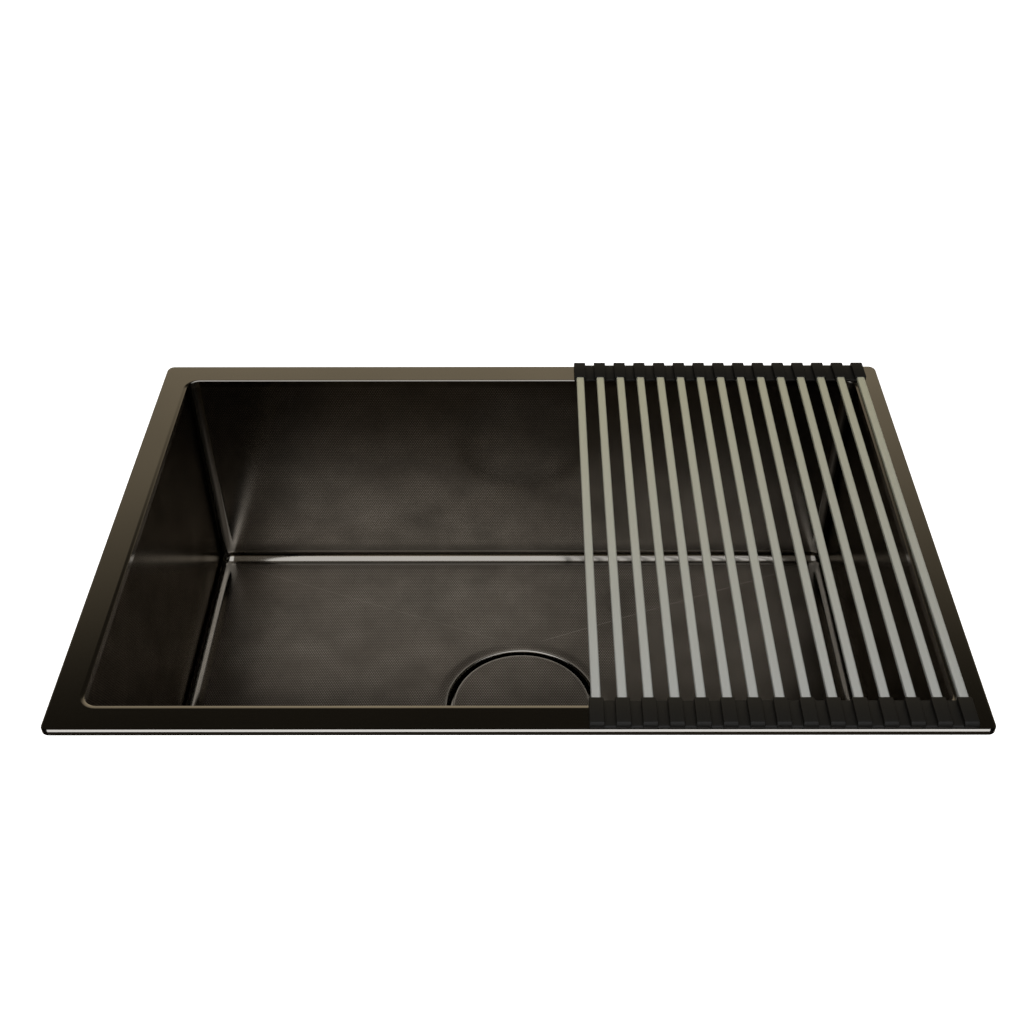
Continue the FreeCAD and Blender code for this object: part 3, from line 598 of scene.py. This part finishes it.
def lip_section():
    """Below the dish, as rows of (radius, z): over the lip, down the recess wall, round its foot
    and across its floor to the strainer's hole."""
    turn = np.linspace(0, np.pi / 2, 9)
    lip = np.stack([LIP_RADIUS - LIP_ROLL * np.sin(turn), COVER_TOP - LIP_ROLL * (1 - np.cos(turn))], -1)
    over, under = quarter_roll(RECESS_BEND, RECESS_BEND, 5)
    foot = np.stack([RECESS_RADIUS - over, RECESS_FLOOR + under], -1)
    wall = [[RECESS_RADIUS, foot[0, 1] + 2 * BORDER]]
    hole_edge = [[STRAINER_HOLE + BORDER, RECESS_FLOOR], [STRAINER_HOLE, RECESS_FLOOR]]
    hole = [[RECESS_RADIUS - RECESS_BEND - 1, RECESS_FLOOR], *hole_edge]
    return np.concatenate([lip, wall, foot, hole])


def bowl_rings():
    """The bowl as rings: the wall from the mouth's leg, the bend to the floor, the floor drawn
    straight in from the bend to the fan's circle, the dish to the lip, and the recess."""
    wall_share = np.array(WALL_SHARES)[:, None]
    one = np.ones(wall_share.shape[0])
    wall = loops(SINK_COURSE, MOUTH["half_x"] * one, MOUTH["half_y"] * one, MOUTH["corner"] * one)
    foot = floor_level(wall[..., 0], wall[..., 1]) + FLOOR_BEND
    wall_z = -MOUTH["leg"] * (1 - wall_share) + foot * wall_share
    over, under = quarter_roll(FLOOR_BEND, FLOOR_BEND, BEND_STEPS)
    bend = loops(SINK_COURSE, MOUTH["half_x"] - over, MOUTH["half_y"] - over, MOUTH["corner"] - over)
    bend_z = floor_level(bend[..., 0], bend[..., 1]) + under[:, None]
    angle = drain_angles(*SINK_STEPS)
    around = np.stack([np.cos(angle), np.sin(angle)], -1)
    share = np.concatenate([[0.004], np.linspace(0.03, 1, FLOOR_ROWS)])[:, None, None]
    floor = bend[-1] * (1 - share) + FAN_RADIUS * around * share
    floor_z = floor_level(floor[..., 0], floor[..., 1])
    sink_in = np.linspace(0.15, 1, DISH_ROWS)
    dish = (FAN_RADIUS - (FAN_RADIUS - LIP_RADIUS) * sink_in)[:, None, None] * around
    settle = (sink_in**2 * (3 - 2 * sink_in))[:, None]
    dish_z = floor_level(dish[..., 0], dish[..., 1]) * (1 - settle) + COVER_TOP * settle
    section = lip_section()[1:]
    recess = section[:, :1, None] * around
    recess_z = section[:, 1:] + 0 * angle
    flat = np.concatenate([wall, bend, floor, dish, recess])
    level = np.concatenate([wall_z, bend_z, floor_z, dish_z, recess_z])
    rings = np.concatenate([flat, level[..., None]], -1)
    parts = [len(part) for part in (wall, bend, floor, dish, recess)]
    return rings, parts


def sheet_shares(rings, parts):
    """For each point, how much of the honeycomb it carries: all of it on the flat walls and floor,
    none on the bend, in the upright corners and from the drain's lip down. Then whether it is on
    the floor, how much painted highlight it carries on one of the floor's four creases, the rear right one
    most, and whether it is on the line of painted shade where the rear bend runs out into the floor."""
    _, _, angle = SINK_COURSE
    off_corner = np.abs(np.mod(angle + np.pi / 4, np.pi / 2) - np.pi / 4)
    on_side = np.broadcast_to(off_corner < SAME_ANGLE, rings.shape[:2]).astype(float).copy()
    wall, bend, floor, dish, _ = np.cumsum(parts)
    on_side[wall - 1 : bend + 1] = 0
    on_side[bend + 1 : dish - 1] = 1
    on_side[dish - 1 :] = 0
    on_floor = np.zeros(rings.shape[:2])
    on_floor[wall:] = 1
    on_crease = np.zeros(rings.shape[:2])
    # painted highlight along the creases, strongest on the rear right one
    highlight_share = np.where(angle < np.pi / 2, 1, 0.35)
    off_diagonal = np.abs(np.mod(angle, np.pi / 2) - np.pi / 4)
    on_crease[bend : floor - 1] = highlight_share * (off_diagonal < SAME_ANGLE)
    # painted shade along the last rows of the rear bend
    on_shade_line = np.zeros(rings.shape[:2])
    on_shade_line[bend - 2 : bend] = np.abs(angle - np.pi / 2) < SAME_ANGLE
    return on_side, on_floor, on_crease, on_shade_line


def carry_share(piece, name, share):
    """Keeps one number for each point of a mesh under a name that its finish reads."""
    layer = piece.data.attributes.new(name, "FLOAT", "POINT")
    layer.data.foreach_set("value", np.ravel(share).astype(np.float32))


def lay_sheet(piece, rings, last_wall_row):
    """The bowl's map in metres: along the wall and down it as far as the bend, and x and y below."""
    wall = rings[0, :, :2]
    step = np.linalg.norm(np.roll(wall, -1, 0) - wall, axis=1)
    along = np.concatenate([[0], np.cumsum(step)])
    down = np.linalg.norm(np.diff(rings[:, 0], axis=0), axis=1)
    depth = np.concatenate([[0], np.cumsum(down)])
    rows, count = rings.shape[:2]
    here, row = np.meshgrid(np.arange(count), np.arange(rows - 1))
    after = (here + 1) % count
    sides = [(along[here], depth[row]), (along[here + 1], depth[row])]
    sides += [(along[here + 1], depth[row + 1]), (along[here], depth[row + 1])]
    on_wall = np.stack([np.stack(s, -1) for s in sides], 2)
    corners = [(row, here), (row, after), (row + 1, after), (row + 1, here)]
    below = np.stack([rings[corner][..., :2] for corner in corners], 2)
    chosen = np.where(row[:, :, None, None] < last_wall_row, on_wall, below)
    layer = piece.data.uv_layers.new(name="sheet")
    layer.data.foreach_set("uv", (chosen * MM).astype(np.float32).ravel())


def make_bowl():
    """The bowl, its floor and the drain's recess in one sheet, with the undercoat behind."""
    rings, parts = bowl_rings()
    faces = ring_quads(*rings.shape[:2]).reshape(-1, 4).tolist()
    bowl = make_mesh("deep_bowl", rings, faces, FINISHES["pressed"])
    bowl.data.materials.append(FINISHES["undercoat"])
    lay_sheet(bowl, rings, parts[0] + parts[1] - LEVEL_BEND_ROWS)
    for name, share in zip(("pressed", "floor", "crease", "line"), sheet_shares(rings, parts)):
        carry_share(bowl, name, share)
    sharpen_borders(bowl, rings.shape[1])
    thicken(bowl, behind=1)
    return bowl


def lay_flat(piece):
    """A map of x and y in metres for a flat piece."""
    mesh = piece.data
    places = np.zeros(len(mesh.vertices) * 3, np.float32)
    corners = np.zeros(len(mesh.loops), np.int32)
    mesh.vertices.foreach_get("co", places)
    mesh.loops.foreach_get("vertex_index", corners)
    layer = mesh.uv_layers.new(name="sheet")
    layer.data.foreach_set("uv", places.reshape(-1, 3)[corners, :2].ravel())


def make_cover():
    """The drain's cover: a plate with a rolled rim, turned about Z from its underside up."""
    turn = np.linspace(0, np.pi / 2, 7)
    low = COVER_TOP - COVER_THICK
    edge = COVER_RADIUS - COVER_ROLL
    roll = np.stack([edge + COVER_ROLL * np.cos(turn), COVER_TOP - COVER_ROLL * (1 - np.sin(turn))], -1)
    under = [[2, low], [edge - 1, low], [COVER_RADIUS - 0.3, low], [COVER_RADIUS, low + 0.3]]
    over = [[edge - r, COVER_TOP] for r in (0.6, 1.8, 0.5 * edge, edge - 2)]
    rings = spin(np.concatenate([under, roll, over]), COVER_STEPS)
    cover = make_mesh("drain_cover_plate", rings, closed_rings(rings), FINISHES["cover_gunmetal"])
    lay_flat(cover)
    on_top = np.abs(rings[..., 2] - COVER_TOP) < 0.01
    flat = on_top & (np.hypot(rings[..., 0], rings[..., 1]) < edge - 1.5)
    carry_share(cover, "pressed", flat)
    carry_share(cover, "floor", np.ones(flat.shape))
    return cover


# ---------------------------------------------------------------- the rack


BAR_COURSE = loop_course(4, 4, 5)
WEB_COURSE = loop_course(12, 2, 3)


def bar_x(number):
    """The middle of a bar, numbered from the left."""
    return LAST_BAR_X - BAR_PITCH * (BAR_COUNT - number)


def block_rings(course, x, low, width, top, corner, y):
    """A block along Y from the rear to the front: rounded rectangles in x and z, each as wide and
    with its top as high as is given for its place along Y."""
    y, width, top = np.broadcast_arrays(np.asarray(y, float), width, top)
    section = loops(course, width / 2, (top - low) / 2, corner + 0 * y)
    middle = (low + top)[:, None] / 2
    return np.stack([x + section[..., 0], y[:, None] + 0 * section[..., 0], middle + section[..., 1]], -1)


def joined(parts):
    """Several closed tubes of rings as one set of points and faces."""
    points, faces, start = [], [], 0
    for rings in parts:
        points.append(rings.reshape(-1, 3))
        faces += [[start + corner for corner in face] for face in closed_rings(rings)]
        start += len(points[-1])
    return np.concatenate(points), faces


def make_bar(number):
    """One steel bar of the rack, square with rolled corners."""
    rear, front = BAR["rear"], BAR["front"]
    y = [rear, rear - BORDER, 0, front + BORDER, front]
    top = BAR["low"] + BAR["height"]
    rings = block_rings(BAR_COURSE, bar_x(number), BAR["low"], BAR["width"], top, BAR["corner"], y)
    return make_mesh(f"steel_bar_{number:02d}", rings, closed_rings(rings), FINISHES["rack_steel"])


def soft_ends(course, x, width, form):
    """The front and rear soft pieces at one place along the rack. From its outer end each rises by a
    bevel: the top is down by fall (1 - d / run), rounded where it meets the flat, and 0 beyond."""
    last = CAP_LENGTH
    slope = np.linspace(0.7, form["run"] + 1.2, 9)
    distance = np.array([0, 0.15, END_ROUND, *slope, last - JOIN_ROUND, last - 0.2, last])
    short = 1 - distance / form["run"]
    sloping = (short + np.hypot(short, BEVEL_SOFT)) / 2
    near_end, near_join = 1 - distance / END_ROUND, 1 - (last - distance) / JOIN_ROUND
    end = np.clip(near_end, 0, 1) ** 2 + np.clip(near_join, 0, 1) ** 2
    top = form["height"] - form["fall"] * sloping - END_DROP * end
    wide = width - END_NARROWING * end
    front = block_rings(course, x, 0, wide[::-1], top[::-1], form["roll"], (RACK_FRONT + distance)[::-1])
    rear = block_rings(course, x, 0, wide, top, form["roll"], RACK_REAR - distance)
    return joined([front, rear])


def make_caps(number):
    """The two soft caps of one bar, bevelled at their outer ends."""
    points, faces = soft_ends(BAR_COURSE, bar_x(number), CAP["width"], CAP)
    return make_mesh(f"soft_caps_{number:02d}", points, faces, FINISHES["rack_silicone"])


def make_webs(number):
    """The two thin soft webs between a bar's caps and the next bar's."""
    width = BAR_PITCH - CAP["width"] + 2 * WEB["overlap"]
    points, faces = soft_ends(WEB_COURSE, bar_x(number) + BAR_PITCH / 2, width, WEB)
    return make_mesh(f"soft_webs_{number:02d}", points, faces, FINISHES["rack_silicone"])


# ---------------------------------------------------------------- put together


def mount(piece, body, slot, *nodes):
    """A finished piece rides on its body and stands for its nodes, which are hidden. The slot is not used.
    """
    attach(piece, body)
    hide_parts(*nodes)


def mount_webs(number):
    """The webs between two bars, with their placing baked into their points."""
    webs = make_webs(number)
    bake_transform(webs)


def finish_kept_nodes():
    """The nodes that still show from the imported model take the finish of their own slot."""
    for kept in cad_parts.values():
        for place in kept.material_slots:
            slot = place.material.name.split(".")[0]
            if not kept.hide_render and slot in FINISHES:
                place.material = FINISHES[slot]


mount(make_rim(), "sink", "gunmetal", "top_plate")
mount(make_bowl(), "sink", "gunmetal", "bowl")
mount(make_cover(), "drain_cover", "cover_gunmetal", "cover_plate")
for number in range(1, BAR_COUNT + 1):
    link = f"rack_link_{number:02d}"
    mount(make_bar(number), link, "rack_steel", f"rack_bar_{number:02d}")
    mount(make_caps(number), link, "rack_silicone", f"rack_ends_{number:02d}")
for number in range(1, BAR_COUNT):
    mount_webs(number)
finish_kept_nodes()


# ---------------------------------------------------------------- worktop, light and camera


def make_worktop():
    """A plain pale worktop that the rim rests on, with the sink's cutout through it."""
    half_x, half_y, corner = (MOUTH[key] + CUTOUT_GAP for key in ("half_x", "half_y", "corner"))
    flat = loops(SINK_COURSE, [WORKTOP_HALF, half_x], [WORKTOP_HALF, half_y], [20.0, corner])
    rings = np.concatenate([flat, np.full((*flat.shape[:2], 1), WORKTOP_LEVEL)], -1)
    paint, _, shader = new_finish("pale_worktop", Roughness=0.9, Base_Color=(0.9, 0.9, 0.9, 1))
    shader.inputs["Emission Color"].default_value = (1, 1, 1, 1)
    shader.inputs["Emission Strength"].default_value = 1.0
    faces = ring_quads(*rings.shape[:2]).reshape(-1, 4).tolist()
    worktop = make_mesh("worktop", rings, faces, paint)
    worktop.visible_glossy = False


GLOW_BY_HEIGHT = [(0.0, 0.9), (0.5, 0.54), (0.59, 0.375), (0.64, 0.215)]
GLOW_BY_HEIGHT += [(0.69, 0.06), (0.715, 0.023), (1.0, 0.015)]


def mirrored_glow(tree):
    """How bright the studio is in each direction that the metal mirrors: pale low down behind the
    sink, where a wall would stand, and darker higher up, to the sides and in front."""
    toward = tree.nodes.new("ShaderNodeTexCoord").outputs["Generated"]
    parts = add_node(tree, "ShaderNodeSeparateXYZ", Vector=toward).outputs
    height = add_node(tree, "ShaderNodeValToRGB", Fac=parts["Z"])
    ramp = height.color_ramp
    ramp.elements[0].position, ramp.elements[1].position = 0.0, 1.0
    for position, _ in GLOW_BY_HEIGHT[1:-1]:
        ramp.elements.new(position)
    for element, (_, glow) in zip(ramp.elements, GLOW_BY_HEIGHT):
        element.color = (glow, glow, glow, 1)
    behind = eased_node(tree, parts["Y"], From_Min=-0.2, From_Max=0.5, To_Min=0.05)
    off_middle = math_node(tree, "ABSOLUTE", parts["X"])
    middle = eased_node(tree, off_middle, From_Min=0.75, From_Max=0.1, To_Min=0.08)
    return math_node(tree, "MULTIPLY", height.outputs["Color"], math_node(tree, "MULTIPLY", behind, middle))


def make_studio():
    """A white studio, which the metal mirrors as a warm glow."""
    world = bpy.data.worlds.new("studio")
    world.use_nodes = True
    tree = world.node_tree
    tree.nodes.clear()
    lit = add_node(tree, "ShaderNodeBackground", Strength=mirrored_glow(tree))
    lit.inputs["Color"].default_value = (1, 0.86, 0.62, 1)
    seen = add_node(tree, "ShaderNodeBackground", Strength=1.0)
    seen.inputs["Color"].default_value = (1, 1, 1, 1)
    ray = tree.nodes.new("ShaderNodeLightPath").outputs["Is Camera Ray"]
    mix = tree.nodes.new("ShaderNodeMixShader")
    feed(tree, mix.inputs[0], ray)
    tree.links.new(lit.outputs[0], mix.inputs[1])
    tree.links.new(seen.outputs[0], mix.inputs[2])
    out = tree.nodes.new("ShaderNodeOutputWorld")
    tree.links.new(mix.outputs[0], out.inputs["Surface"])
    bpy.context.scene.world = world


def hang_softbox(name, place, size, power):
    """A soft rectangular light, tilted to face the sink."""
    light = bpy.data.lights.new(name, "AREA")
    light.shape = "RECTANGLE"
    light.size, light.size_y = size
    light.energy = power
    box = bpy.data.objects.new(name, light)
    box.location = place
    box.rotation_euler = (math.atan2(-place[1], place[2]), 0, 0)
    bpy.context.scene.collection.objects.link(box)


def set_camera():
    """The photograph's view: in front of the sink and above it, looking down at its mouth."""
    lens = bpy.data.cameras.new("camera")
    lens.lens = 46.77
    lens.sensor_width = 36.0
    lens.shift_x, lens.shift_y = -0.0176, 0.0176
    camera = bpy.data.objects.new("camera", lens)
    camera.location = (0.0102, -0.9397, 0.8178)
    camera.rotation_euler = (math.radians(48.56), math.radians(0.063), 0.0)
    bpy.context.scene.collection.objects.link(camera)
    bpy.context.scene.camera = camera


make_worktop()
make_studio()
hang_softbox("long_softbox", (0.0, -0.85, 1.47), (2.5, 3.0), 28.4)
set_camera()
bpy.context.scene.view_settings.view_transform = "Standard"
